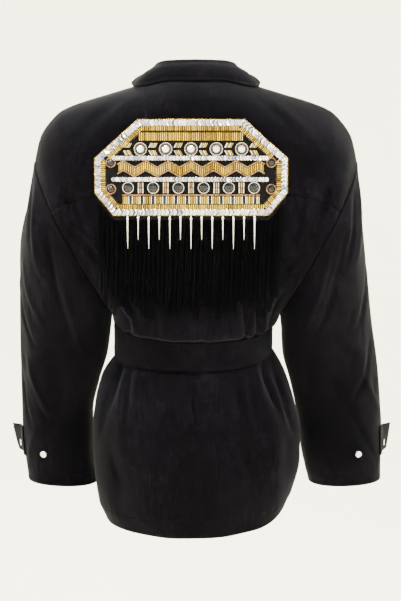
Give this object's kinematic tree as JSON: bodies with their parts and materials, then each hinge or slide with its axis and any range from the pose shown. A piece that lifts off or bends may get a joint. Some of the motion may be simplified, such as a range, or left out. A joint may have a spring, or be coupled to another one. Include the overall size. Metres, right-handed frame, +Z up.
{
  "type": "belted denim jacket",
  "caption": "Worn-form black denim jacket with a wide belt, wide dropped sleeves, buttoned cuff tabs, a beaded applique and a long corded fringe on the back.",
  "frame": {"origin": "centred between the shoulders, level with the lower edge of the collar, where the shoulders carry the jacket", "axes": "+Z up, +Y the garment's front, +X the wearer's right"},
  "size_m": [0.6447, 0.2494, 0.74],
  "materials": {
    "denim": "matt brushed black cotton twill with a faint grey bloom",
    "metal": "satin silver buttons",
    "applique": "black ground covered with silver and gold sequins, bugle beads, clear crystals and black faceted studs",
    "fringe": "soft black twisted cord"
  },
  "bodies": {
    "root": {"back_yoke": "denim", "back_panel": "denim", "front_left": "denim", "front_right": "denim", "sleeve_left": "denim", "sleeve_right": "denim", "collar": "denim", "belt": "denim", "cuff_tab_left": "denim", "cuff_tab_right": "denim", "cuff_button_left_1": "metal", "cuff_button_left_2": "metal", "cuff_button_right_1": "metal", "cuff_button_right_2": "metal", "front_button_1": "metal", "front_button_2": "metal", "front_button_3": "metal", "front_button_4": "metal", "front_button_5": "metal", "front_button_6": "metal", "belt_button_1": "metal", "belt_button_2": "metal", "applique_plaque": "applique", "fringe": "fringe"}
  },
  "joints": []
}
